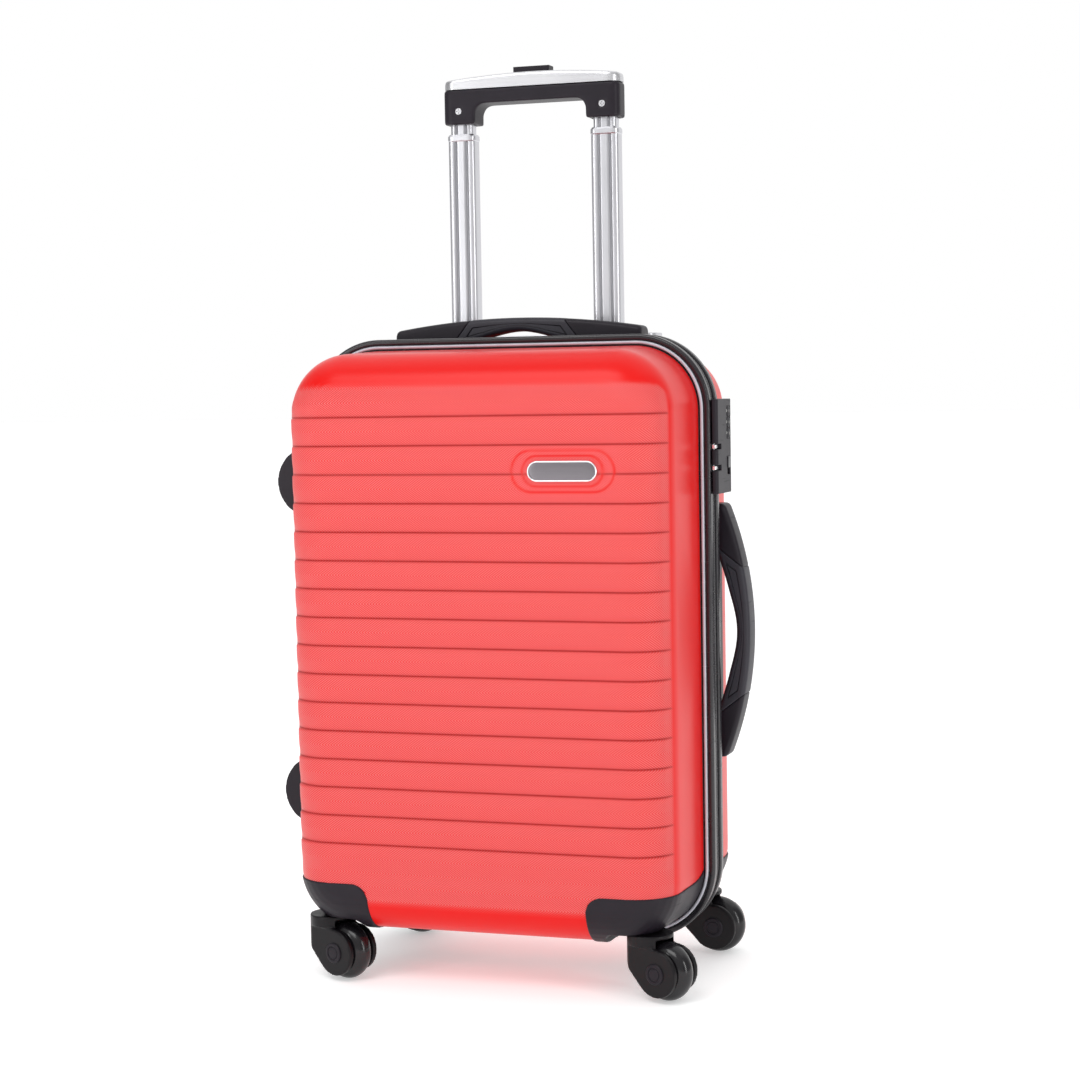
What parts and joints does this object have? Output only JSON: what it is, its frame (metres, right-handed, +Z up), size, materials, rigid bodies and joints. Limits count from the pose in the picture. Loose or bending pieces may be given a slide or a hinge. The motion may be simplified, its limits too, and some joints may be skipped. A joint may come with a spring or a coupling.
{
  "type": "cabin suitcase",
  "caption": "Hard shell cabin suitcase with ribbed trays joined by a zip band, telescopic trolley handle, carrying handles, dial lock, side feet and swivelling casters.",
  "frame": {"origin": "on the floor under the middle of the case", "axes": "+Z up, +X across to the lock side, -Y to the front tray; the trolley stands on the +Y side"},
  "size_m": [0.3802, 0.2262, 0.7535],
  "materials": {
    "badge_face": "dark satin lacquer",
    "black_plastic": "matte moulded plastic",
    "bright_metal": "polished",
    "charcoal_plastic": "matte moulded nylon",
    "lining_cloth": "woven polyester lining",
    "piping": "extruded rubber with a soft sheen",
    "satin_cap": "brushed along its length",
    "shell_red": "satin moulded polycarbonate, fine cross-hatched texture on the faces",
    "soft_grip": "soft-touch overmould",
    "steel": "zinc plated",
    "tube_silver": "anodised, satin",
    "webbing": "woven polyester webbing",
    "wheel_tyre": "smooth polyurethane, semi-gloss",
    "zip_tape": "woven polyester tape",
    "zip_teeth": "nylon coil, semi-matte"
  },
  "bodies": {
    "back_half": {"back_shell": "shell_red", "back_lining": "lining_cloth", "packing_straps": "webbing", "strap_buckle": "black_plastic", "back_band": "piping", "back_zip_tape": "zip_tape", "back_zip_teeth": "zip_teeth", "zip_sliders": "bright_metal", "zip_pullers": "bright_metal", "hinge_fabric": "zip_tape", "lock_housing": "charcoal_plastic", "lock_shaft": "steel", "outer_tubes": "tube_silver", "tube_bracket": "black_plastic", "trolley_bezel": "charcoal_plastic", "top_handle_ends": "charcoal_plastic", "top_handle_grip": "soft_grip", "side_handle_base": "charcoal_plastic", "side_handle_ends": "charcoal_plastic", "side_handle_grip": "soft_grip", "back_feet": "charcoal_plastic", "housing_back_left": "charcoal_plastic", "housing_back_right": "charcoal_plastic", "back_screws": "steel"},
    "front_half": {"front_shell": "shell_red", "front_lining": "lining_cloth", "mesh_pocket": "lining_cloth", "front_band": "piping", "front_zip_tape": "zip_tape", "front_zip_teeth": "zip_teeth", "front_feet": "charcoal_plastic", "badge_bezel": "bright_metal", "badge_plate": "badge_face", "front_screws": "steel", "housing_front_left": "charcoal_plastic", "housing_front_right": "charcoal_plastic"},
    "trolley_mid": {"mid_tubes": "tube_silver", "mid_collars": "tube_silver"},
    "trolley_inner": {"inner_tubes": "tube_silver", "grip_body": "charcoal_plastic", "grip_cap": "satin_cap", "grip_screws": "steel"},
    "release_button": {"grip_button": "charcoal_plastic", "release_rods": "steel"},
    "dial_1": {"lock_dial_1": "black_plastic"},
    "dial_2": {"lock_dial_2": "black_plastic"},
    "dial_3": {"lock_dial_3": "black_plastic"},
    "lock_button": {"lock_button": "charcoal_plastic"},
    "caster_front_left": {"fork_front_left": "charcoal_plastic", "axle_front_left": "steel"},
    "roller_front_left": {"wheel_front_left": "wheel_tyre"},
    "caster_front_right": {"fork_front_right": "charcoal_plastic", "axle_front_right": "steel"},
    "roller_front_right": {"wheel_front_right": "wheel_tyre"},
    "caster_back_left": {"fork_back_left": "charcoal_plastic", "axle_back_left": "steel"},
    "roller_back_left": {"wheel_back_left": "wheel_tyre"},
    "caster_back_right": {"fork_back_right": "charcoal_plastic", "axle_back_right": "steel"},
    "roller_back_right": {"wheel_back_right": "wheel_tyre"}
  },
  "joints": [
    {"name": "lid_hinge", "type": "hinge", "parent": "back_half", "child": "front_half", "pos_m": [-0.1748, 0, 0.277], "axis": [0, 0, -1], "range_deg": [0, 115]},
    {"name": "trolley_mid_slide", "type": "slide", "parent": "back_half", "child": "trolley_mid", "axis": [0, 0, 1], "range_m": [-0.1665, 0.04]},
    {"name": "trolley_inner_slide", "type": "slide", "parent": "trolley_mid", "child": "trolley_inner", "axis": [0, 0, 1], "range_m": [-0.0075, 0.23]},
    {"name": "release_button_press", "type": "slide", "parent": "trolley_inner", "child": "release_button", "axis": [0, 0, -1], "range_m": [0, 0.004], "stiffness_N_per_m": 1200, "springref_m": -0.002},
    {"name": "dial_1_turn", "type": "hinge", "parent": "back_half", "child": "dial_1", "pos_m": [0.1723, 0.0251, 0.46], "axis": [0, 0, 1], "continuous": true},
    {"name": "dial_2_turn", "type": "hinge", "parent": "back_half", "child": "dial_2", "pos_m": [0.1723, 0.0251, 0.451], "axis": [0, 0, 1], "continuous": true},
    {"name": "dial_3_turn", "type": "hinge", "parent": "back_half", "child": "dial_3", "pos_m": [0.1723, 0.0251, 0.442], "axis": [0, 0, 1], "continuous": true},
    {"name": "lock_release_slide", "type": "slide", "parent": "back_half", "child": "lock_button", "axis": [0, 0, -1], "range_m": [0, 0.005], "stiffness_N_per_m": 300, "springref_m": -0.001},
    {"name": "swivel_front_left", "type": "hinge", "parent": "front_half", "child": "caster_front_left", "pos_m": [-0.136, -0.079, 0.0525], "axis": [0, 0, 1], "continuous": true},
    {"name": "roll_front_left", "type": "hinge", "parent": "caster_front_left", "child": "roller_front_left", "pos_m": [-0.12116, -0.08499, 0.0235], "axis": [0.3746, 0.9272, 0], "continuous": true},
    {"name": "swivel_front_right", "type": "hinge", "parent": "front_half", "child": "caster_front_right", "pos_m": [0.136, -0.079, 0.0525], "axis": [0, 0, 1], "continuous": true},
    {"name": "roll_front_right", "type": "hinge", "parent": "caster_front_right", "child": "roller_front_right", "pos_m": [0.15083, -0.08499, 0.0235], "axis": [0.3746, 0.9272, 0], "continuous": true},
    {"name": "swivel_back_left", "type": "hinge", "parent": "back_half", "child": "caster_back_left", "pos_m": [-0.136, 0.079, 0.0525], "axis": [0, 0, 1], "continuous": true},
    {"name": "roll_back_left", "type": "hinge", "parent": "caster_back_left", "child": "roller_back_left", "pos_m": [-0.12002, 0.07816, 0.0235], "axis": [0.0523, 0.9986, 0], "continuous": true},
    {"name": "swivel_back_right", "type": "hinge", "parent": "back_half", "child": "caster_back_right", "pos_m": [0.136, 0.079, 0.0525], "axis": [0, 0, 1], "continuous": true},
    {"name": "roll_back_right", "type": "hinge", "parent": "caster_back_right", "child": "roller_back_right", "pos_m": [0.15198, 0.07816, 0.0235], "axis": [0.0523, 0.9986, 0], "continuous": true}
  ]
}
